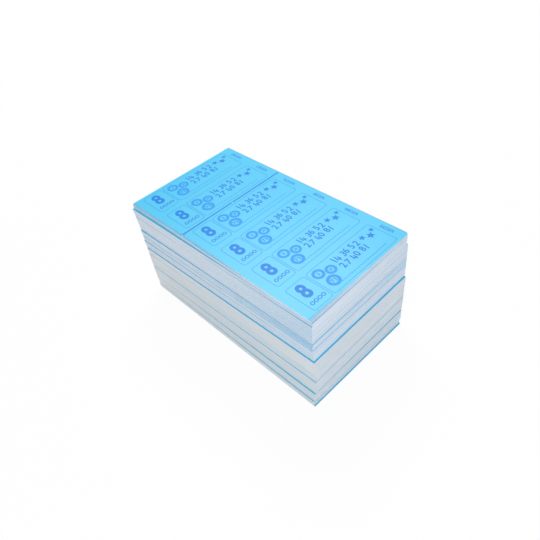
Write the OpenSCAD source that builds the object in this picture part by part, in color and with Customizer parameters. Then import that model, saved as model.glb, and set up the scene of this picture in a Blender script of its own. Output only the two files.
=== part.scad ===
// Stack of bingo ticket books.
// A book is one blue cover over eight white game sheets, glued along one long edge. A tear line across
// every sheet parts the first pair of tickets from the other four. The books lie in bundles, squared up
// roughly by hand. The lower bundles lie turned end for end, so that their glued edges come to the front.
// The tear line makes its end of a book a little thicker, so the plane where the turned bundles end slopes.
// The origin is in the middle of the underside. X runs along the row of tickets, Y from the loose edge of
// the top book to its glued edge, and Z up.

/* [Sheet] */
// Length of a sheet, along the row of tickets
sheet_length = 280; // [240:1:320]
// Width of a sheet, from its loose edge to its glued edge
sheet_width = 153; // [120:1:200]
// Thickness of one sheet of paper
sheet_thickness = 0.078; // [0.06:0.002:0.11]
// Air left over every layer of the stacked books
paper_air = 0.004; // [0.002:0.001:0.01]

/* [Tear line] */
// Tickets side by side on a sheet
tickets = 6; // [4:1:8]
// Tickets in the part that tears away
torn_tickets = 2; // [1:1:3]
// Width of the slit along the tear line
slit_width = 0.4; // [0.2:0.05:0.8]
// Length of each uncut tie that still holds the two parts together
tie_length = 1.5; // [0.8:0.1:4]
// Slits along the tear line, each with a tie behind it
slits = 2; // [1:1:6]

/* [Binding] */
// Thickness of the glue film on the glued edge
glue_film = 0.15; // [0.1:0.01:0.2]
// Height by which a book's glue film stays short of the next book
glue_short = 0.06; // [0.03:0.01:0.1]

/* [Stack] */
// Furthest that one book lies out of line within its bundle
book_jog = 0.05; // [0:0.01:0.4]
// Furthest that one book lies turned within its bundle, in degrees
book_twist = 0.01; // [0:0.005:0.1]
// Rise from left to right of the plane where the turned bundles end
pack_slope = 5; // [0:0.5:8]
// Shift of the sheet under the stack, to the right
base_shift_x = 0.2; // [-4:0.1:4]
// Shift of the sheet under the stack, to the back
base_shift_y = 0.6; // [-4:0.1:4]
// Turn of the sheet under the stack, in degrees
base_turn = -0.4; // [-1:0.1:1]

/* [Hidden] */
game_sheets = 8;
leaves = game_sheets + 1;
page_thickness = game_sheets * sheet_thickness;
book_thickness = leaves * sheet_thickness;
// The leaves of the top book end this far before the back of the glue, where the paper bends as they turn
leaf_setback = 8 * sheet_thickness;
tear_x = sheet_length * (torn_tickets / tickets - 0.5);
// Where the paper ends and the glue film begins, across a sheet
spine_y = sheet_width / 2 - glue_film;
cover_blue = "skyblue";
paper_white = "white";
glue_grey = "gainsboro";

// Bundles from the bottom up. Each row has the number of books, then how its top book lies: its shift along
// X and along Y and its turn in degrees. The last three are how far the books drift along X, along Y and in
// turn from there down to the lowest book of the bundle.
bundle_rows = [
    [11, -1.3,  0.1, -0.30,  0.0, 0.2,  0.0],
    [20, -0.2,  0.3,  0.00, -0.4, 0.5, -0.1],
    [28,  0.1,  0.6,  0.60, -0.9, 0.5, -0.3],
    [33,  0.2,  0.4,  0.65, -0.5, 0.9,  0.0],
    [15,  0.8, -0.2,  0.45, -0.3, 0.8,  0.1],
    [16, -0.8,  0.3,  0.55, -0.4, 0.9,  0.0],
    [10, -0.4,  0.2,  0.30, -0.2, 0.5,  0.1],
    [13, -0.8,  0.5,  0.75,  0.0, 0.0, -0.5],
    [29, -1.0,  0.4,  0.80, -0.4, 0.9, -0.3],
    [17, -0.5, -0.3,  0.95, -0.4, 0.7, -0.3],
    [7,  -0.3,  0.0,  0.25, -0.3, 0.2,  0.4],
];
bundles = len(bundle_rows);
// This many bundles, counted from the bottom, lie turned end for end
turned_bundles = 5;

// Books that lie below a bundle
function books_below(bundle) = bundle == 0 ? 0 : books_below(bundle - 1) + bundle_rows[bundle - 1][0];

stacked_books = books_below(bundles);
turned_books = books_below(turned_bundles);
jog_x = rands(-book_jog, book_jog, stacked_books, 11);
jog_y = rands(-book_jog, book_jog, stacked_books, 23);
twist = rands(-book_twist, book_twist, stacked_books, 37);

// Rise along X of the underside of a book, for each millimetre
function slope(book) =
    pack_slope / sheet_length
    * (book < turned_books ? book / turned_books : (stacked_books - book) / (stacked_books - turned_books));
// Height of the underside of a book at a place along X
function book_z(book, x) = sheet_thickness + book * book_thickness + x * slope(book);
top_book_z = book_z(stacked_books, 0);

// How a book of a bundle lies: its number in the stack, its shift along X and Y and its turn
function book_place(bundle, n) =
    let (
        row = bundle_rows[bundle],
        book = books_below(bundle) + n,
        down = 1 - n / max(row[0] - 1, 1)
    )
    [
        book,
        row[1] + row[4] * down + jog_x[book],
        row[2] + row[5] * down + jog_y[book],
        row[3] + row[6] * down + twist[book] + (bundle < turned_bundles ? 180 : 0),
    ];
// Corner of a book, from its spot on the sheet and its level. A level is a share of the book's height and
// how much air lies over the paper there.
function book_corner(place, spot, level) =
    let (
        book = place[0],
        x = place[1] + spot[0] * cos(place[3]) - spot[1] * sin(place[3]),
        y = place[2] + spot[0] * sin(place[3]) + spot[1] * cos(place[3])
    )
    [x, y, book_z(book, x) * (1 - level[0]) + book_z(book + 1, x) * level[0] - level[1]];
// Faces of a block whose corners are listed round its underside and then round its top
block_faces = [[0, 1, 2, 3], [7, 6, 5, 4], [0, 4, 5, 1], [1, 5, 6, 2], [2, 6, 7, 3], [3, 7, 4, 0]];

function two_digits(number) = str(number < 10 ? "0" : "", number);
function bundle_node(bundle, kind) = str("bundle_", two_digits(bundle + 1), "_", kind);
function sheet_node(sheet) = str("game_sheet_", sheet);

// A flat sheet in its own place: loose edge to the front, glued edge to the back
module flat_block(depth, thickness) {
    translate([-sheet_length / 2, -sheet_width / 2, 0])
        cube([sheet_length, depth, thickness]);
}

// One layer of every book in a bundle, between two places across the sheet and two shares of the height
module book_layers(bundle, y_from, y_to, low, high) {
    half = sheet_length / 2;
    outline = [[-half, y_from], [half, y_from], [half, y_to], [-half, y_to]];
    for (n = [0 : bundle_rows[bundle][0] - 1]) {
        place = book_place(bundle, n);
        polyhedron(
            [for (level = [[low, 0], [high, paper_air]], spot = outline) book_corner(place, spot, level)],
            block_faces
        );
    }
}

// Cut of one slit of the tear line. The first one runs out through the loose edge.
module tear_slit(n, pitch) {
    run_out = n == 0 ? tie_length : 0;
    translate([tear_x - slit_width / 2, n * pitch - run_out - sheet_width / 2, -sheet_thickness])
        cube([slit_width, pitch - tie_length + run_out, 3 * sheet_thickness]);
}

// One leaf of the top book, with the slits of its tear line, lying at height z
module top_leaf(z) {
    depth = sheet_width - leaf_setback;
    translate([0, 0, z])
        difference() {
            flat_block(depth, sheet_thickness);
            for (n = [0 : slits - 1]) tear_slit(n, depth / slits);
        }
}

// Blue sheet that lies under the whole stack
module base_sheet() {
    color(cover_blue)
        translate([base_shift_x, base_shift_y, 0])
            rotate([0, 0, base_turn])
                flat_block(sheet_width, sheet_thickness);
}

// White game sheets of every book in a bundle, one block to each book
module bundle_pages(bundle) {
    color(paper_white)
        book_layers(bundle, -sheet_width / 2, spine_y, 0, game_sheets / leaves);
}

// Blue covers of the books in a bundle
module bundle_covers(bundle) {
    color(cover_blue)
        book_layers(bundle, -sheet_width / 2, spine_y, game_sheets / leaves, 1);
}

// Glue films of the books in a bundle
module bundle_glue(bundle) {
    color(glue_grey)
        book_layers(bundle, spine_y, sheet_width / 2, 0, 1 - glue_short / book_thickness);
}

// Cover of the top book
module top_cover() {
    color(cover_blue)
        top_leaf(top_book_z + page_thickness);
}

// A game sheet of the top book, counted down from the one under the cover
module game_sheet(sheet) {
    color(paper_white)
        top_leaf(top_book_z + (game_sheets - sheet) * sheet_thickness);
}

// Glue film of the top book
module top_book_glue() {
    color(glue_grey)
        translate([-sheet_length / 2, spine_y, top_book_z])
            cube([sheet_length, glue_film, book_thickness - glue_short]);
}

base_sheet();
for (b = [0 : bundles - 1]) {
    bundle_pages(b);
    bundle_covers(b);
    bundle_glue(b);
}
top_cover();
for (sheet = [1 : game_sheets]) {
    game_sheet(sheet);
}
top_book_glue();
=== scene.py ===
"""Looks of a stack of bingo ticket books: loose sheets, blue covers, glued edges and plain numbers."""
import math
import random
from functools import partial

import bmesh
import bpy
from bpy.props import FloatProperty, FloatVectorProperty, IntProperty, PointerProperty
from mathutils import Matrix, Vector


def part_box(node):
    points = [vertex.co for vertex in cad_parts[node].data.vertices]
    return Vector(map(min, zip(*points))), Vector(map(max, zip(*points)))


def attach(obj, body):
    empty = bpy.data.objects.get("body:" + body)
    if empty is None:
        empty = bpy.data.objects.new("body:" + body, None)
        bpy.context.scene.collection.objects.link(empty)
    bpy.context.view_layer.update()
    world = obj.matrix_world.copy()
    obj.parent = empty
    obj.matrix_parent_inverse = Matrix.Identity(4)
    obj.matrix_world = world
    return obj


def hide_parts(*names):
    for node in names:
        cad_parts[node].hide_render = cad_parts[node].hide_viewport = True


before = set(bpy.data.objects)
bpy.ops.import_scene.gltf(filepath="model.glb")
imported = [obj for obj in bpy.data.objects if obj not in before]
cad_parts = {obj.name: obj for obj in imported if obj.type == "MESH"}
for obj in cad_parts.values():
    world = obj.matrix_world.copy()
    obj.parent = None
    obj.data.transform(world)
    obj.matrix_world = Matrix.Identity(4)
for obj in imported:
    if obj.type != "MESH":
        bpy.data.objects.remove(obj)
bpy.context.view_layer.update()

bl_info = {
    "name": "Ticket book stack",
    "version": (1, 0, 0),
    "blender": (4, 5, 0),
    "location": "3D View > Sidebar > Ticket stack",
    "description": "Sheets, covers, glue and print of a stack of bingo ticket books",
    "category": "Object",
}

MM = 0.001
# Points closer than this count as one
WELD = 0.001 * MM
BUNDLES = sorted(name[:-len("_pages")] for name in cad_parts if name.endswith("_pages"))
LEAF_LOW, LEAF_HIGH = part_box("top_cover")
SPAN = LEAF_HIGH - LEAF_LOW
# Start of the chance by which books and sheets lie out of line
SEED = 7
# How far the tones of the books, of the sheets in a book and of the covers may differ from the mean
BOOK_TONE, SHEET_TONE, COVER_TONE = 0.6, 0.4, 1
# Steps along the loose edges of the upper books: how many books from the top lie back together, how many
# fan steps far, and the shares of the length where that starts, is greatest and ends
FRONT_STEPS = (
    (1, 0.85, -0.09, 1 / 3, 0.82),
    (2, 0.85, -0.09, 1 / 3, 0.82),
    (8, 1.5, -0.5, 1 / 6, 0.75),
    (15, 0.65, 0.4, 1, 1.6),
)
# Steps at their right ends: how many books from the top lie in together, and how many fan steps far
END_STEPS = ((1, 0.28), (3, 0.32), (8, 0.4))
# Cuts that let a stacked book lie back, in lengths of the part that tears away
FAN_CUTS = (0.5, 1, 1.5, 2, 2.5)
# Cuts that let a leaf of the top book bend: shares of its lifted strips, and parts of its width and length
BEND_CUTS, WIDTH_PARTS, LENGTH_PARTS = (0.25, 0.5, 0.75, 1), 12, 24
# Colours of the borders on the game sheets, from the first game to the last
BORDERS = (
    (0.80, 0.10, 0.12), (0.95, 0.42, 0.04), (0.95, 0.78, 0.05), (0.10, 0.50, 0.14),
    (0.05, 0.45, 0.75), (0.16, 0.12, 0.55), (0.50, 0.08, 0.50), (0.85, 0.18, 0.45),
)


def size(name, description, millimetres):
    """A length that the user may change."""
    return FloatProperty(
        name=name, description=description, default=millimetres * MM, unit="LENGTH", precision=6)


def number(name, description, default):
    """A plain number that the user may change."""
    return FloatProperty(name=name, description=description, default=default)


def count(name, description, default):
    """A whole number that the user may change."""
    return IntProperty(name=name, description=description, default=default)


def angle(name, description, degrees):
    """An angle that the user may change."""
    return FloatProperty(name=name, description=description, default=math.radians(degrees), subtype="ANGLE")


def colour(name, description, default):
    """A colour that the user may change."""
    return FloatVectorProperty(
        name=name, description=description, default=default, subtype="COLOR", min=0, max=1)


class PaperSettings(bpy.types.PropertyGroup):
    """Sheets, covers and glue."""

    cover_blue: colour("Cover blue", "Colour of the cover paper", (0.03, 0.55, 0.88))
    page_white: colour("Page white", "Colour of the game sheets in the upper bundles", (0.80, 0.87, 0.965))
    page_grey: colour("Page grey", "Colour of the game sheets in the turned bundles", (0.80, 0.85, 0.90))
    glue_white: colour("Glue white", "Colour of the dried padding glue", (0.735, 0.79, 0.83))
    game_sheets: count("Game sheets", "Sheets under each cover", 8)
    air: number("Air", "Share of a sheet's height left as air", 0.1)
    stray: size("Stray", "Furthest that most sheets lie out of line in their book", 0.025)
    slip: size("Slip", "Furthest that the few sheets and books that slipped lie out of line", 0.3)
    slipped: number("Slipped", "Share of the books that slipped", 0.05)
    tear_share: number("Tear line", "Share of the sheet's length that tears away", 1 / 3)
    slit_width: size("Slit width", "Width of the slits along the tear line", 0.06)
    nick_width: size("Nick width", "Width of the nick at the end of a tear line", 0.7)
    nick_depth: size("Nick depth", "Depth of the nick at the end of a tear line", 1.4)
    tie_length: size("Tie length", "Uncut length behind each slit", 1.5)
    slits: count("Slits", "Slits along a tear line", 2)
    corner_round: size("Worn corner", "Radius of the worn back corner of the top bundles", 4)
    worn_bundles: count("Worn bundles", "Bundles at the top with a worn corner", 2)
    edge_lift: size("Edge lift", "How far each leaf stands off the one below at its loose edge", 0.012)
    lift_margin: size("Lift margin", "Width of the strip that stands off along the loose edge", 9)
    end_lift: size("End lift", "How far each leaf stands off the one below at its right end", 0.045)
    end_margin: size("End margin", "Width of the strip that stands off along the right end", 4.4)
    fan_step: size("Fan step", "Length by which the steps of the upper books are counted", 0.95)
    proud: size("Proud covers", "How far the upper covers stand out in front at their right end", 0.06)


class PrintSettings(bpy.types.PropertyGroup):
    """Plain print on the covers and game sheets."""

    ink: colour("Ink", "Ink of the numbers on the covers", (0.0, 0.225, 0.78))
    pale_ink: colour("Pale ink", "Thinner ink of the rings on the covers", (0.01, 0.34, 0.88))
    number_ink: colour("Number ink", "Ink of the numbers on the game sheets", (0.03, 0.03, 0.04))
    film: size("Ink film", "Height of the print over the paper", 0.012)
    line: size("Line", "Width of the outlines", 0.5)
    bold: number("Bold", "Share of its size by which a digit is made bolder", 0.024)
    heavy: number("Heavy", "Share of its size by which the big number is made bolder", 0.036)
    # The tear rule is print, widened to carry the painted shade of the narrow slits as well
    rule_and_slit_shade: size("Tear rule", "Width of the rule on each side of the tear line", 0.95)
    tickets: count("Tickets", "Tickets side by side on a sheet", 6)


class StageSettings(bpy.types.PropertyGroup):
    """Floor, light and camera."""

    lens: number("Lens", "Focal length in millimetres on a 36 mm sensor", 35.361)
    place: FloatVectorProperty(
        name="Camera place", description="Where the camera stands", default=(0.3568, -0.29306, 0.50153),
        subtype="TRANSLATION", unit="LENGTH")
    azimuth: angle("Azimuth", "Direction that the camera looks from", 50.368)
    elevation: angle("Elevation", "Height of the camera over the horizon", 43.742)
    roll: angle("Roll", "Turn of the camera about its view", -7.779)
    ambient: number("Ambient", "Strength of the even light from all round", 0.42)
    key: number("Key", "Power of the soft light from behind, which shines on the cover, in watts", 12.0)
    fill: number("Fill", "Power of the low soft light from the front right, in watts", 6.4)
    front: number("Front", "Power of the high soft light over the front corner, in watts", 2.2)
    floor_white: colour("Floor", "Colour of the floor as the camera sees it", (0.97, 0.97, 0.97))
    floor_grey: colour("Floor bounce", "Colour of the floor as it lights the stack", (0.8, 0.8, 0.8))
    floor_glow: number("Floor glow", "Share of the floor that is white by itself", 0.94)


class StackSettings(bpy.types.PropertyGroup):
    """All settings of the stack."""

    paper: PointerProperty(type=PaperSettings)
    prints: PointerProperty(type=PrintSettings)
    stage: PointerProperty(type=StageSettings)


class Wire:
    """A socket of a recipe. Arithmetic on it adds Math nodes."""

    def __init__(self, recipe, socket):
        self.recipe = recipe
        self.socket = socket

    def _math(self, operation, *values):
        return self.recipe.node("ShaderNodeMath", values, operation=operation)

    def __add__(self, other):
        return self._math("ADD", self, other)

    def __sub__(self, other):
        return self._math("SUBTRACT", self, other)

    def __rsub__(self, other):
        return self._math("SUBTRACT", other, self)

    def __mul__(self, other):
        return self._math("MULTIPLY", self, other)

    def __gt__(self, other):
        return self._math("GREATER_THAN", self, other)

    def __lt__(self, other):
        return self._math("LESS_THAN", self, other)

    def __abs__(self):
        return self._math("ABSOLUTE", self)

    __radd__ = __add__
    __rmul__ = __mul__


class Recipe:
    """The node tree of one finish."""

    def __init__(self, tree):
        tree.nodes.clear()
        self.tree = tree

    def node(self, kind, inputs=(), output=0, **settings):
        """Adds a node and gives its settings first, then its inputs."""
        node = self.tree.nodes.new(kind)
        for name, value in settings.items():
            setattr(node, name, value)
        for key, value in inputs.items() if isinstance(inputs, dict) else enumerate(inputs):
            if isinstance(value, Wire):
                self.tree.links.new(value.socket, node.inputs[key])
            else:
                node.inputs[key].default_value = value
        return Wire(self, node.outputs[output] if node.outputs else None)

    def place(self, scale=(1, 1, 1)):
        """Object coordinates, stretched."""
        here = self.node("ShaderNodeTexCoord", output="Object")
        return self.node("ShaderNodeMapping", {"Vector": here, "Scale": scale})

    def noise(self, scale, detail=2, stretch=(1, 1, 1)):
        """Noise from 0 to 1 on the object's own coordinates."""
        return self.node("ShaderNodeTexNoise", {
            "Vector": self.place(stretch), "Scale": scale, "Detail": detail})

    def split(self, vector):
        """The three numbers of a vector."""
        return [self.node("ShaderNodeSeparateXYZ", {"Vector": vector}, output=axis) for axis in range(3)]

    def blend(self, factor, first, second):
        """A colour between two others."""
        return self.node("ShaderNodeMix", {0: factor, 6: first, 7: second}, output=2, data_type="RGBA")

    def shade(self, tint, strength):
        """A colour made darker or lighter."""
        return self.node("ShaderNodeVectorMath", {0: tint, "Scale": strength}, operation="SCALE")

    def surface(self, tint, roughness, height, relief, gloss, strength=0.4):
        """Ends the recipe with a plain surface in relief."""
        bump = self.node("ShaderNodeBump", {"Height": height, "Distance": relief, "Strength": strength})
        shader = self.node("ShaderNodeBsdfPrincipled", {
            "Base Color": tint, "Roughness": roughness, "Normal": bump, "Specular IOR Level": gloss})
        self.node("ShaderNodeOutputMaterial", {"Surface": shader})


def recipe_for(name):
    """A new material and its empty recipe."""
    material = bpy.data.materials.new(name)
    material.use_nodes = True
    return material, Recipe(material.node_tree)


def rgba(tint):
    """A colour setting as a socket takes it."""
    return (*tint, 1)


def paper_finish(name, tint, cut_tint, tone_share):
    """Uncoated paper: fine fibres, faint clouds, a tone for each sheet, and cut edges of another tint,
    which on the covers is partly a painted highlight.
    """
    material, recipe = recipe_for(name)
    fibre = recipe.noise(1500, 3)
    cloud = recipe.noise(40, 2)
    tone = recipe.node("ShaderNodeAttribute", output="Fac", attribute_name="tone")
    level = recipe.split(recipe.node("ShaderNodeNewGeometry", output="Normal"))[2]
    # Upright faces take the cut tint: on the covers a paler blue, partly the paper's own edge and partly a
    # painted highlight
    edge = 1 - abs(level)
    body = recipe.blend(edge * 0.8, rgba(tint), rgba(cut_tint))
    strength = 0.91 + fibre * 0.12 + cloud * 0.06 + tone * tone_share
    recipe.surface(recipe.shade(body, strength), 0.28 + fibre * 0.16, fibre, 0.03 * MM, 0.6)
    return material


def ink_finish(name, tint, paper_tint):
    """Ink that lets a little of the paper through between the fibres."""
    material, recipe = recipe_for(name)
    grain = recipe.noise(2600, 3)
    bare = recipe.node("ShaderNodeMapRange", {"Value": grain, "From Min": 0.52, "From Max": 0.75})
    cloud = recipe.noise(60, 2)
    body = recipe.blend(bare * 0.2, rgba(tint), rgba(paper_tint))
    recipe.surface(recipe.shade(body, 0.93 + cloud * 0.14), 0.28 + grain * 0.16, grain, 0.02 * MM, 0.25)
    return material


def glue_finish(name, tint, cover_tint, tear_x, half_nick):
    """Thin dried glue: sheets and covers show through as fine lines, and spots of painted shade stand for
    the nicks where the tear lines meet it.
    """
    material, recipe = recipe_for(name)
    sheets = recipe.noise(1, 3, (7, 7, 5200))
    books = recipe.noise(1, 2, (4, 4, 620))
    brush = recipe.noise(1, 3, (420, 420, 30))
    along, across, _ = recipe.split(recipe.place())
    side = 1 - (across < 0) * 2
    # Painted shade: spots on the flat glue along the tear line, darkened as if nicked
    nick = (abs(along * side - tear_x) < half_nick) * (recipe.noise(1, 1, (0, 0, 260)) > 0.56)
    covers = recipe.node("ShaderNodeMapRange", {
        "Value": recipe.noise(1, 2, (5, 5, 1100)), "From Min": 0.53, "From Max": 0.7})
    body = recipe.blend(covers * (0.22 + along * 1.3), rgba(tint), rgba(cover_tint))
    # The nick spots take a third off the brightness: painted shade
    strength = 0.84 + sheets * 0.16 + books * 0.14 + brush * 0.05 - nick * 0.35
    recipe.surface(recipe.shade(body, strength), 0.34 + brush * 0.25, sheets + brush, 0.05 * MM, 0.5)
    return material


def tear_line(paper):
    """Where the tear line runs across the books that don't lie turned."""
    return LEAF_LOW.x + SPAN.x * paper.tear_share


def finishes(context):
    """Every finish of the stack by name, made when first asked for."""
    if "blue_paper" not in bpy.data.materials:
        paper = context.scene.ticket_stack.paper
        prints = context.scene.ticket_stack.prints
        # The covers' cut edges are a paler blue: partly the paper's own edge, partly a painted highlight
        # along the edges
        cover_cut_and_highlight = Vector(paper.cover_blue).lerp(Vector(paper.page_white), 0.3)
        paper_finish("blue_paper", paper.cover_blue, cover_cut_and_highlight, 0.05)
        paper_finish("white_paper", paper.page_white, Vector(paper.page_white) * 0.98, 0.07)
        paper_finish("grey_paper", paper.page_grey, Vector(paper.page_grey) * 0.98, 0.07)
        half_nick = paper.slit_width / 2
        glue_finish("dried_glue", paper.glue_white, paper.cover_blue, tear_line(paper), half_nick)
        ink_finish("cover_ink", prints.ink, paper.cover_blue)
        ink_finish("pale_cover_ink", prints.pale_ink, paper.cover_blue)
        ink_finish("number_ink", prints.number_ink, paper.page_white)
        for game, tint in enumerate(BORDERS, 1):
            ink_finish(f"border_ink_{game}", tint, paper.page_white)
    return bpy.data.materials


def piece(name, bm, body, materials, replaced=()):
    """Makes a finished piece that moves with its body."""
    mesh = bpy.data.meshes.new(name)
    bm.to_mesh(mesh)
    bm.free()
    for material in materials:
        mesh.materials.append(material)
    obj = bpy.data.objects.new(name, mesh)
    bpy.context.scene.collection.objects.link(obj)
    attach(obj, body)
    if replaced:
        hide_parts(*replaced)


def cut_across(bm, axis, place):
    """Cuts a flat bmesh along a line across an axis."""
    normal = Vector((axis == 0, axis == 1, 0))
    geometry = bm.verts[:] + bm.edges[:] + bm.faces[:]
    bmesh.ops.bisect_plane(bm, geom=geometry, dist=WELD, plane_co=normal * place, plane_no=normal)


def round_off(bm, corners, radius):
    """Rounds corners of a flat sheet."""
    bmesh.ops.bevel(
        bm, geom=corners, offset=radius, affect="VERTICES", segments=5, profile=0.5, material=-1)


def flat_sheet(low, high, slits=(), round_corner=0):
    """A flat sheet between two corners, with slits cut out of it and one worn corner."""
    bm = bmesh.new()
    bm.verts.layers.float.new("tone")
    middle, span = (low + high) / 2, high - low
    bmesh.ops.create_grid(
        bm, x_segments=1, y_segments=1, size=0.5,
        matrix=Matrix.Translation((middle.x, middle.y, 0)) @ Matrix.Diagonal((span.x, span.y, 1, 1)))
    if round_corner:
        worn = max(bm.verts, key=lambda vert: vert.co.x + vert.co.y)
        round_off(bm, [worn], round_corner)
    for left, right, front, back in slits:
        for axis, place in ((0, left), (0, right), (1, front), (1, back)):
            cut_across(bm, axis, place)
    gone = []
    for face in bm.faces:
        spot = face.calc_center_median()
        if any(left < spot.x < right and front < spot.y < back for left, right, front, back in slits):
            gone.append(face)
    bmesh.ops.delete(bm, geom=gone, context="FACES")
    return bm


def thicken(bm, thickness):
    """Gives a flat sheet its thickness, upwards."""
    made = bmesh.ops.extrude_face_region(bm, geom=bm.faces[:])
    top = [vert for vert in made["geom"] if isinstance(vert, bmesh.types.BMVert)]
    bmesh.ops.translate(bm, verts=top, vec=(0, 0, thickness))
    bmesh.ops.recalc_face_normals(bm, faces=bm.faces[:])


def to_blank(name, bm):
    """Keeps a bmesh as a mesh that is stamped many times."""
    mesh = bpy.data.meshes.new(name)
    bm.to_mesh(mesh)
    bm.free()
    return mesh


def stamp(bm, blank, matrix, finish=0):
    """Adds a copy of a blank in its place and gives back its new points."""
    first_vert, first_face = len(bm.verts), len(bm.faces)
    bm.from_mesh(blank)
    bm.verts.ensure_lookup_table()
    bm.faces.ensure_lookup_table()
    fresh = bm.verts[first_vert:]
    bmesh.ops.transform(bm, matrix=matrix, verts=fresh)
    for face in bm.faces[first_face:]:
        face.material_index += finish
    return fresh


class Book:
    """Where one stacked book lies, from the corners of its block of paper."""

    def __init__(self, points):
        self.middle = sum(points, Vector()) / len(points)
        self.low, self.high = {}, {}
        for right in (False, True):
            end = [point for point in points if (point.x > self.middle.x) == right]
            end.sort(key=lambda point: point.y)
            for back, pair in ((False, end[:2]), (True, end[2:])):
                self.low[right, back], self.high[right, back] = sorted(pair, key=lambda point: point.z)

    def spot(self, along, across, share):
        """The point at shares of the length, the width and the height."""
        low, high = (
            level[False, False].lerp(level[True, False], along).lerp(
                level[False, True].lerp(level[True, True], along), across)
            for level in (self.low, self.high))
        return low.lerp(high, share)


def books_in(node):
    """The books of a node from the lowest up."""
    bm = bmesh.new()
    bm.from_mesh(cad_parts[node].data)
    bmesh.ops.remove_doubles(bm, verts=bm.verts[:], dist=WELD)
    books, waiting = [], set(bm.verts)
    while waiting:
        edge_of_block = [waiting.pop()]
        block = []
        while edge_of_block:
            vert = edge_of_block.pop()
            block.append(vert.co.copy())
            for edge in vert.link_edges:
                other = edge.other_vert(vert)
                if other in waiting:
                    waiting.remove(other)
                    edge_of_block.append(other)
        books.append(Book(block))
    bm.free()
    return sorted(books, key=lambda book: book.middle.z)


def is_turned(bundle):
    """True where a bundle lies turned, with its glued edges to the front."""
    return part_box(f"{bundle}_glue")[1].y < 0


def lay(bm, blank, book, low, high, turned, stray, tone, bend=None):
    """Lays a sheet, cut in shares of its length and width, between two shares of a book's height."""
    for vert in stamp(bm, blank, Matrix()):
        along, across, up = vert.co
        place = Vector((stray.x, stray.y * (1 - across), 0)) + (bend(along, across) if bend else Vector())
        if turned:
            along, across = 1 - along, 1 - across
        vert.co = book.spot(along, across, low + (high - low) * up) + place
        vert[bm.verts.layers.float["tone"]] = tone


def plain_blank(name, length=1):
    """A plain sheet or film in shares of its length and width."""
    bm = flat_sheet(Vector(), Vector((length, 1, 0)))
    thicken(bm, 1)
    return to_blank(name, bm)


def share_blank(paper, worn, nicked):
    """A sheet in shares of its length and width, with a worn back corner and a nick in front or without."""
    tear = SPAN.x * paper.tear_share
    nick = (tear - paper.nick_width / 2, tear + paper.nick_width / 2, 0, paper.nick_depth)
    bm = flat_sheet(Vector(), SPAN, [nick] if nicked else (), paper.corner_round if worn else 0)
    if worn:
        cut_across(bm, 1, paper.lift_margin)
        for share in FAN_CUTS:
            cut_across(bm, 0, tear * share)
    bmesh.ops.scale(bm, vec=(1 / SPAN.x, 1 / SPAN.y, 1), verts=bm.verts[:])
    thicken(bm, 1)
    return to_blank("sheet_blank", bm)


def dress_glue(paper, looks, node, body, worn):
    """Gives the glue of a bundle its finish. Worn bundles have lost the end of it with their corner."""
    if not worn:
        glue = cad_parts[node]
        glue.data.materials.clear()
        glue.data.materials.append(looks["dried_glue"])
        return
    blank = plain_blank("glue_blank", 1 - paper.corner_round / SPAN.x)
    films = bmesh.new()
    for book in books_in(node):
        lay(films, blank, book, 0, 1, False, Vector(), 0)
    piece(f"{node}_film", films, body, [looks["dried_glue"]], [node])


def sheet_shares(spot):
    """A spot on the stack in shares of a sheet's length and width."""
    return (spot.x - LEAF_LOW.x) / SPAN.x, (spot.y - LEAF_LOW.y) / SPAN.y


def lie_back(paper, from_top, along, across, proud=0):
    """How far a book, counted from the top one down, lies back in front and in at its right end.

    A cover may stand proud of that in front.
    """
    loose = max(0, 1 - across * SPAN.y / paper.lift_margin)
    end = max(0, 1 - (1 - along) * SPAN.x / paper.end_margin)
    back = sum(
        step * max(0, (along - left) / (peak - left) if along < peak else (right - along) / (right - peak))
        for books, step, left, peak, right in FRONT_STEPS if from_top < books)
    inwards = sum(step for books, step in END_STEPS if from_top < books)
    stands_out = proud * along ** 2 * (1 - across)
    return Vector((-inwards * end, back * loose, 0)) * paper.fan_step - Vector((0, stands_out, 0))


def astray(chance, reach):
    """How far a sheet lies out of line."""
    return Vector((chance.uniform(-reach, reach), chance.uniform(-reach, reach), 0))


def leaf_slits(paper):
    """The slits of a leaf of the top book. The first one runs out through the loose edge."""
    middle = tear_line(paper)
    pitch = SPAN.y / paper.slits
    return [
        (middle - paper.slit_width / 2, middle + paper.slit_width / 2,
         LEAF_LOW.y + pitch * slit, LEAF_LOW.y + pitch * (slit + 1) - paper.tie_length)
        for slit in range(paper.slits)
    ]


def cut_to_bend(bm, paper):
    """Cuts a flat leaf, or its print, so that it can wave along its loose edge and bow at its right end."""
    for share in BEND_CUTS:
        cut_across(bm, 1, LEAF_LOW.y + paper.lift_margin * share)
        cut_across(bm, 0, LEAF_HIGH.x - paper.end_margin * share)
    for axis, parts in ((1, WIDTH_PARTS), (0, LENGTH_PARTS)):
        for part in range(1, parts):
            cut_across(bm, axis, LEAF_LOW[axis] + SPAN[axis] * part / parts)


def leaf_lift(paper, leaf, spot):
    """How far a leaf, counted from the lowest up, stands off near its loose edge and its right end."""
    from_edge = max(0, 1 - (spot.y - LEAF_LOW.y) / paper.lift_margin)
    from_end = max(0, 1 - (LEAF_HIGH.x - spot.x) / paper.end_margin)
    along, across = sheet_shares(spot)
    # The loose edge waves along its length, and the right end bows most at its front
    wave = 0.6 + 0.4 * math.cos(along * 9.5 + 0.6)
    bow = 0.2 + 0.8 * (1 - across) ** 2
    return leaf * (paper.edge_lift * wave * from_edge ** 2 + paper.end_lift * bow * from_end ** 2)


def bend_leaf(paper, leaf, verts, height):
    """Lays the points of a leaf of the top book, counted from the lowest up, at a height and bends them."""
    for vert in verts:
        lift = Vector((0, 0, height + leaf_lift(paper, leaf, vert.co)))
        vert.co += lift + lie_back(paper, 0, *sheet_shares(vert.co))


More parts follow.
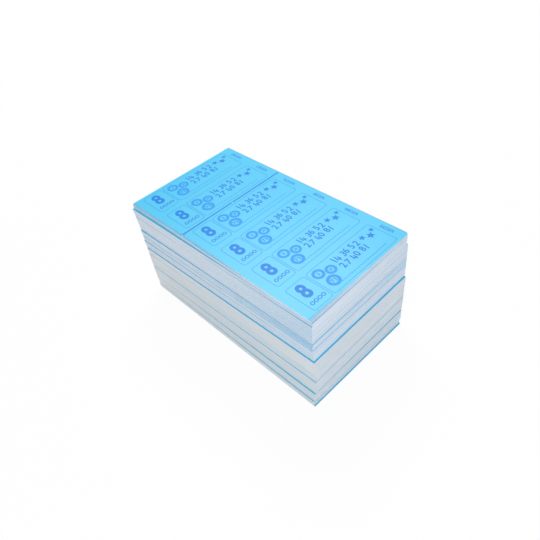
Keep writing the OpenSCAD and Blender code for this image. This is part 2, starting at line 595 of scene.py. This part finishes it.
class TICKETSTACK_OT_base(bpy.types.Operator):
    """Make the blue sheet under the stack"""

    bl_idname = "ticket_stack.base"
    bl_label = "Base sheet"

    def execute(self, context):
        blue = finishes(context)["blue_paper"]
        bm = bmesh.new()
        lay(bm, plain_blank("base_blank"), books_in("base_sheet")[0], 0, 1, False, Vector(), 0)
        piece("base_paper", bm, "bundle_01", [blue], ["base_sheet"])
        return {"FINISHED"}


class TICKETSTACK_OT_bundles(bpy.types.Operator):
    """Make the game sheets, covers and glue of every bundle"""

    bl_idname = "ticket_stack.bundles"
    bl_label = "Bundles"

    def execute(self, context):
        paper = context.scene.ticket_stack.paper
        looks = finishes(context)
        blanks = [[share_blank(paper, worn, nicked) for nicked in (False, True)] for worn in (False, True)]
        chance = random.Random(SEED)
        from_top = sum(len(books_in(f"{bundle}_pages")) for bundle in BUNDLES)
        for bundle in BUNDLES:
            turned = is_turned(bundle)
            worn = bundle in BUNDLES[-paper.worn_bundles:]
            page_blank, cover_blank = blanks[worn]
            white, blue = looks["grey_paper" if turned else "white_paper"], looks["blue_paper"]
            pages, covers = bmesh.new(), bmesh.new()
            for block, cover in zip(books_in(f"{bundle}_pages"), books_in(f"{bundle}_covers")):
                bend = partial(lie_back, paper, from_top)
                cover_bend = partial(lie_back, paper, from_top, proud=0 if turned else paper.proud)
                from_top -= 1
                slipped = astray(chance, paper.slip if chance.random() < paper.slipped else paper.stray)
                tone = chance.uniform(-BOOK_TONE, BOOK_TONE)
                for sheet in range(paper.game_sheets):
                    low, high = sheet / paper.game_sheets, (sheet + 1 - paper.air) / paper.game_sheets
                    place = slipped + astray(chance, paper.stray)
                    sheet_tone = tone + chance.uniform(-SHEET_TONE, SHEET_TONE)
                    lay(pages, page_blank, block, low, high, turned, place, sheet_tone, bend)
                tone = chance.uniform(-COVER_TONE, COVER_TONE)
                lay(covers, cover_blank, cover, 0, 1 - paper.air, turned, slipped, tone, cover_bend)
            piece(f"{bundle}_game_sheets", pages, bundle, [white], [f"{bundle}_pages"])
            piece(f"{bundle}_blue_covers", covers, bundle, [blue], [f"{bundle}_covers"])
            dress_glue(paper, looks, f"{bundle}_glue", bundle, worn)
        return {"FINISHED"}


class TICKETSTACK_OT_top_book(bpy.types.Operator):
    """Make the cover, the game sheets and the glue of the top book"""

    bl_idname = "ticket_stack.top_book"
    bl_label = "Top book"

    def execute(self, context):
        paper = context.scene.ticket_stack.paper
        looks = finishes(context)
        leaves = [(f"game_sheet_{n}", f"leaf_{n}") for n in range(paper.game_sheets, 0, -1)]
        leaves[0] = (leaves[0][0], "top_book")
        leaves.append(("top_cover", "cover_leaf"))
        for leaf, (node, body) in enumerate(leaves):
            low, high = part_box(node)
            bm = flat_sheet(low, high, leaf_slits(paper), paper.corner_round)
            cut_to_bend(bm, paper)
            thicken(bm, (high.z - low.z) * (1 - paper.air))
            bend_leaf(paper, leaf, bm.verts, low.z)
            tint, slot = ("blue", "cover_paper") if node == "top_cover" else ("white", "game_paper")
            piece(f"{node}_leaf", bm, body, [looks[f"{tint}_paper"]], [node])
        dress_glue(paper, looks, "top_book_glue", "top_book", True)
        return {"FINISHED"}


# What is cut out of a block, in shares of its height, to leave an open 4
FOUR_GAPS = (
    (0, 0.36, 0, 0.22), (0.55, 0.66, 0, 0.22), (0.19, 0.36, 0.41, 1),
    (0.55, 0.66, 0.41, 1), (0.36, 0.55, 0.74, 1),
)
# Gap after a digit and width of a space, in heights of a digit
DIGIT_GAP, SPACE = 0.14, 0.3
# Share of the ink film's height on covers and sheets inside the stack
INSIDE_FILM = 1 / 4
# Made-up number of the first ticket, and how much higher each next one is
FIRST_NUMBER, NUMBER_STEP = 410360, 7


def digit_blanks(weight, detail=3):
    """Flat digits of a weight, one unit high, with their left foot on the origin, and how wide they are."""
    four_wide = FOUR_GAPS[1][1]
    four = flat_sheet(Vector(), Vector((four_wide, 1, 0)), FOUR_GAPS)
    digits = {"4": (to_blank("digit", four), four_wide)}
    for digit in "012356789":
        curve = bpy.data.curves.new("digit", "FONT")
        curve.body = digit
        curve.offset = weight
        curve.resolution_u = detail
        holder = bpy.data.objects.new("digit", curve)
        mesh = bpy.data.meshes.new_from_object(holder)
        bpy.data.objects.remove(holder)
        low, high = (
            Vector([pick(vert.co[axis] for vert in mesh.vertices) for axis in range(3)])
            for pick in (min, max))
        tall = high.y - low.y
        mesh.transform(Matrix.Scale(1 / tall, 4) @ Matrix.Translation(-low))
        digits[digit] = (mesh, (high.x - low.x) / tall)
    return digits


def text_turn(right, up):
    """Turns print so that it reads along one direction with its top to another."""
    return Matrix((right, up, (0, 0, 1))).transposed().to_4x4()


ALONG_TICKET = text_turn((0, 1, 0), (-1, 0, 0))
ALONG_EDGE = text_turn((-1, 0, 0), (0, -1, 0))


def print_number(bm, digits, text, place, height, turn=ALONG_TICKET, squeeze=0.9, bounce=0):
    """Prints digits on a line from its middle outwards. A space leaves a gap."""
    steps = [SPACE if digit == " " else digits[digit][1] * squeeze + DIGIT_GAP for digit in text]
    pen = (DIGIT_GAP - sum(steps)) / 2
    home = Matrix.Translation(place) @ turn @ Matrix.Scale(height, 4)
    for n, (digit, step) in enumerate(zip(text, steps)):
        if digit != " ":
            sway = (-1) ** n * bounce
            foot = Matrix.Translation((pen, 0.3 * sway, 0)) @ Matrix.Rotation(sway, 4, "Z")
            stamp(bm, digits[digit][0], home @ foot @ Matrix.Diagonal((squeeze, 1, 1, 1)))
        pen += step


def hollow(bm, line):
    """Leaves only the outline of a flat shape."""
    face = bm.faces[:]
    bmesh.ops.inset_region(bm, faces=face, thickness=line, use_even_offset=True, use_boundary=True)
    bmesh.ops.delete(bm, geom=face, context="FACES")


def block_blank(low, high, radius=0, line=0):
    """A filled rectangle, or its outline, with round corners."""
    bm = flat_sheet(low, high)
    if radius:
        round_off(bm, bm.verts[:], radius)
    if line:
        hollow(bm, line)
    return to_blank("print_block", bm)


def ring_blank(radius, line):
    """A round outline."""
    bm = bmesh.new()
    bmesh.ops.create_circle(bm, cap_ends=True, segments=28, radius=radius)
    hollow(bm, line)
    return to_blank("print_ring", bm)


def star_blank(radius, waist=0.45):
    """A plain star of five points."""
    bm = bmesh.new()
    bmesh.ops.create_circle(bm, cap_ends=True, segments=10, radius=radius)
    bm.verts.ensure_lookup_table()
    bmesh.ops.scale(bm, vec=(waist, waist, 1), verts=bm.verts[:][::2])
    return to_blank("print_star", bm)


def at(across, along):
    """A spot on a ticket in millimetres: down from its top, and on from the loose edge."""
    return Vector((across, along, 0)) * MM


def ticket_print(prints, digits):
    """Print of one ticket of a cover: outlines, a big number, numbers in rings and in rows, and stars."""
    bm = bmesh.new()
    for near, far in ((12, 38.4), (40.2, 138.7)):
        stamp(bm, block_blank(at(4, near), at(42.5, far), 3.2 * MM, prints.line), Matrix())
    print_number(bm, digit_blanks(prints.heavy, 8), "8", at(28, 24.3), 20.4 * MM, squeeze=0.82)
    for n in range(4):
        stamp(bm, ring_blank(2.4 * MM, 1 * MM), Matrix.Translation(at(34.4, 18 + 5.1 * n)))
    balls = ((13.5, 49.8, 6.8, "5"), (18.5, 62.6, 6.3, "19"), (30, 53.2, 7.6, "73"))
    for across, along, radius, text in balls:
        stamp(bm, ring_blank(radius * MM, radius * 0.46 * MM), Matrix.Translation(at(across, along)), 1)
        print_number(bm, digits, text, at(across + 0.31 * radius, along), 0.62 * radius * MM)
    for across, text in ((17.4, "14 36 52"), (28.4, "27 40 81")):
        print_number(bm, digits, text, at(across, 91.5), 8.6 * MM, bounce=0.1)
    for across, along, radius in ((13.2, 117.6, 4.4), (17.4, 126.4, 5.2), (12.4, 133.6, 3.6)):
        stamp(bm, star_blank(radius * MM), Matrix.Translation(at(across, along)))
    for n in range(20):
        dash = block_blank(at(36.4, 57 + 3.5 * n), at(37.6, 59.2 + 3.5 * n))
        stamp(bm, dash, Matrix(), 1)
    return to_blank("ticket_print", bm)


def cover_print(paper, prints, digits):
    """Print of a whole cover, flat at height 0: tickets, their numbers and the rules of the tear line,
    which also carry the painted shade of the slits.
    """
    ticket = ticket_print(prints, digits)
    cell = SPAN.x / prints.tickets
    bm = bmesh.new()
    for n in range(prints.tickets):
        corner = Vector((LEAF_LOW.x + cell * n, LEAF_LOW.y, 0))
        stamp(bm, ticket, Matrix.Translation(corner))
        serial = str(FIRST_NUMBER + NUMBER_STEP * n)
        print_number(bm, digits, serial, corner + at(24.2, 147.2), 4.6 * MM, ALONG_EDGE)
    # Dark rules on both sides of the narrow slits: print, and painted shade of the slits
    for left, right, front, back in leaf_slits(paper):
        for low, high in ((left - prints.rule_and_slit_shade, left), (right, right + prints.rule_and_slit_shade)):
            rule_and_slit_shade = flat_sheet(Vector((low, front, 0)), Vector((high, back, 0)))
            cut_to_bend(rule_and_slit_shade, paper)
            stamp(bm, to_blank("tear_rule", rule_and_slit_shade), Matrix())
    return to_blank("cover_print", bm)


class TICKETSTACK_OT_cover_print(bpy.types.Operator):
    """Print the cover of the top book and the covers that come to light as the bundles lift"""

    bl_idname = "ticket_stack.cover_print"
    bl_label = "Cover print"

    def execute(self, context):
        paper = context.scene.ticket_stack.paper
        prints = context.scene.ticket_stack.prints
        looks = finishes(context)
        inks = [looks["cover_ink"], looks["pale_cover_ink"]]
        blank = cover_print(paper, prints, digit_blanks(prints.bold))
        top = LEAF_HIGH.z - SPAN.z * paper.air + prints.film
        bm = bmesh.new()
        bend_leaf(paper, paper.game_sheets, stamp(bm, blank, Matrix()), top)
        piece("top_cover_print", bm, "cover_leaf", inks)
        nick = paper.nick_depth / SPAN.y
        film = Vector((0, 0, prints.film * INSIDE_FILM))
        from_top = 1
        for bundle in reversed(BUNDLES):
            turned = is_turned(bundle)
            covers = books_in(f"{bundle}_covers")
            bm = bmesh.new()
            for vert in stamp(bm, blank, Matrix()):
                along, across = sheet_shares(vert.co)
                across = max(across, nick)
                bend = lie_back(paper, from_top, along, across)
                if turned:
                    along, across = 1 - along, 1 - across
                vert.co = covers[-1].spot(along, across, 1) + bend + film
            piece(f"{bundle}_cover_print", bm, bundle, inks)
            from_top += len(covers)
        return {"FINISHED"}


def game_print(prints, digits, game):
    """Print of one game sheet, flat at height 0: each ticket has a coloured border, a grid and numbers."""
    cell = SPAN.x / prints.tickets
    # The grid, the size of its squares in millimetres, and how many squares of a row hold a number
    columns, rows, pitch, tall, filled = 9, 3, 14.6, 11.6, 5
    margin = 2.2
    middle = at(cell / MM / 2, 76.5)
    bm = bmesh.new()
    frame_blank = block_blank(at(margin, 5), at(cell / MM - margin, 148), 2 * MM, 2.6 * MM)
    grid = bmesh.new()
    bmesh.ops.create_grid(
        grid, x_segments=rows, y_segments=columns, size=0.5,
        matrix=Matrix.Translation(middle) @ Matrix.Diagonal((rows * tall * MM, columns * pitch * MM, 1, 1)))
    squares = grid.faces[:]
    bmesh.ops.inset_individual(grid, faces=squares, thickness=0.16 * MM, use_even_offset=True)
    bmesh.ops.delete(grid, geom=squares, context="FACES")
    grid_blank = to_blank("print_grid", grid)
    for ticket in range(prints.tickets):
        corner = Matrix.Translation((LEAF_LOW.x + cell * ticket, LEAF_LOW.y, 0))
        stamp(bm, frame_blank, corner, 1)
        stamp(bm, grid_blank, corner)
        for row in range(rows):
            for column in range(columns):
                if (2 * column + 3 * row + ticket + game) % columns >= filled:
                    continue
                text = str(10 * column + 3 * row + (ticket + 2 * game + column) % 3 + (column == 0))
                place = middle + at((row - 1) * tall + 3.2, (column - 4) * pitch)
                print_number(bm, digits, text, corner @ place, 6.4 * MM)
    return to_blank("game_print", bm)


class TICKETSTACK_OT_game_print(bpy.types.Operator):
    """Print the game sheets of the top book"""

    bl_idname = "ticket_stack.game_print"
    bl_label = "Game print"

    def execute(self, context):
        paper = context.scene.ticket_stack.paper
        prints = context.scene.ticket_stack.prints
        looks = finishes(context)
        digits = digit_blanks(prints.bold)
        for game in range(1, paper.game_sheets + 1):
            low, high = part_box(f"game_sheet_{game}")
            top = high.z - (high.z - low.z) * paper.air + prints.film * INSIDE_FILM
            bm = bmesh.new()
            stamp(bm, game_print(prints, digits, game), Matrix())
            cut_to_bend(bm, paper)
            bend_leaf(paper, paper.game_sheets - game, bm.verts, top)
            body = "top_book" if game == paper.game_sheets else f"leaf_{game}"
            piece(f"game_print_{game}", bm, body, [looks["number_ink"], looks[f"border_ink_{game}"]])
        return {"FINISHED"}


# Where the lamps look: the middle of the stack
LAMP_TARGET = Vector((0, 0, 0.07))


def soft_light(name, power, place, width):
    """A square soft light that looks at the stack."""
    light = bpy.data.lights.new(name, "AREA")
    light.energy = power
    light.size = width
    lamp = bpy.data.objects.new(name, light)
    lamp.location = place
    lamp.rotation_euler = (LAMP_TARGET - Vector(place)).to_track_quat("-Z", "Y").to_euler()
    bpy.context.scene.collection.objects.link(lamp)


def backdrop_rays(recipe):
    """1 where the camera, a gloss or a clear surface looks at the backdrop."""
    kinds = ("Camera", "Glossy", "Transmission")
    camera, glossy, clear = (recipe.node("ShaderNodeLightPath", output=f"Is {kind} Ray") for kind in kinds)
    return camera + glossy + clear > 0.5


def studio_floor(scene, stage):
    """Makes the pale floor, which keeps the shadow of the stack."""
    material, recipe = recipe_for("studio_floor")
    seen = backdrop_rays(recipe)
    tint = recipe.blend(seen, rgba(stage.floor_grey), rgba(stage.floor_white))
    tint = recipe.shade(tint, 0.98 + recipe.noise(9) * 0.04)
    lit = recipe.node("ShaderNodeBsdfDiffuse", {"Color": tint})
    white = recipe.node("ShaderNodeEmission", {"Color": (1, 1, 1, 1), "Strength": 1.0})
    away = recipe.node("ShaderNodeVectorMath", (recipe.place(),), output="Value", operation="LENGTH")
    glow = recipe.node("ShaderNodeMapRange", {
        "Value": away, "From Min": 0.4, "From Max": 1.2, "To Min": stage.floor_glow, "To Max": 1.0})
    mixed = recipe.node("ShaderNodeMixShader", {0: seen * glow, 1: lit, 2: white})
    recipe.node("ShaderNodeOutputMaterial", {"Surface": mixed})
    bm = bmesh.new()
    bmesh.ops.create_grid(bm, x_segments=8, y_segments=8, size=4)
    mesh = to_blank("floor", bm)
    mesh.materials.append(material)
    floor = bpy.data.objects.new("floor", mesh)
    scene.collection.objects.link(floor)


def studio_sky(scene, stage):
    """Makes the even light from all round, white where it is looked at."""
    world = bpy.data.worlds.new("studio")
    world.use_nodes = True
    sky = Recipe(world.node_tree)
    seen = backdrop_rays(sky)
    glow = sky.node("ShaderNodeBackground", {
        "Color": (1, 1, 1, 1), "Strength": seen * (1 - stage.ambient) + stage.ambient})
    sky.node("ShaderNodeOutputWorld", {"Surface": glow})
    scene.world = world


def photo_camera(scene, stage):
    """Makes the camera at the viewing angle of the photograph."""
    camera = bpy.data.cameras.new("camera")
    camera.lens = stage.lens
    camera.sensor_width = 36
    camera.clip_start = 0.01
    stand = bpy.data.objects.new("camera", camera)
    turn = (
        Matrix.Rotation(stage.azimuth, 4, "Z")
        @ Matrix.Rotation(math.pi / 2 - stage.elevation, 4, "X")
        @ Matrix.Rotation(stage.roll, 4, "Z"))
    stand.matrix_world = Matrix.Translation(stage.place) @ turn
    scene.collection.objects.link(stand)
    scene.camera = stand


class TICKETSTACK_OT_stage(bpy.types.Operator):
    """Make the floor, the light and the camera"""

    bl_idname = "ticket_stack.stage"
    bl_label = "Stage"

    def execute(self, context):
        scene = context.scene
        stage = scene.ticket_stack.stage
        studio_floor(scene, stage)
        studio_sky(scene, stage)
        soft_light("key", stage.key, (-0.6, 0.6, 1.4), 0.8)
        soft_light("fill", stage.fill, (1.1, -0.75, 0.35), 0.7)
        soft_light("front", stage.front, (0.35, -0.55, 1.2), 0.6)
        photo_camera(scene, stage)
        scene.view_settings.view_transform = "Standard"
        return {"FINISHED"}


class TICKETSTACK_PT_panel(bpy.types.Panel):
    """Steps and settings of the stack"""

    bl_idname = "TICKETSTACK_PT_panel"
    bl_label = "Ticket stack"
    bl_space_type = "VIEW_3D"
    bl_region_type = "UI"
    bl_category = "Ticket stack"

    def draw(self, context):
        for step in STEPS:
            self.layout.operator(step.bl_idname)
        stack = context.scene.ticket_stack
        for group in (stack.paper, stack.prints, stack.stage):
            box = self.layout.box()
            for name in group.__annotations__:
                box.prop(group, name)


STEPS = (
    TICKETSTACK_OT_base, TICKETSTACK_OT_bundles, TICKETSTACK_OT_top_book, TICKETSTACK_OT_cover_print,
    TICKETSTACK_OT_game_print, TICKETSTACK_OT_stage,
)
CLASSES = (PaperSettings, PrintSettings, StageSettings, StackSettings, *STEPS, TICKETSTACK_PT_panel)


def register():
    for cls in CLASSES:
        bpy.utils.register_class(cls)
    bpy.types.Scene.ticket_stack = PointerProperty(type=StackSettings)


def unregister():
    del bpy.types.Scene.ticket_stack
    for cls in reversed(CLASSES):
        bpy.utils.unregister_class(cls)


def main():
    register()
    bpy.ops.ticket_stack.base()
    bpy.ops.ticket_stack.bundles()
    bpy.ops.ticket_stack.top_book()
    bpy.ops.ticket_stack.cover_print()
    bpy.ops.ticket_stack.game_print()
    bpy.ops.ticket_stack.stage()


if __name__ == "__main__":
    main()
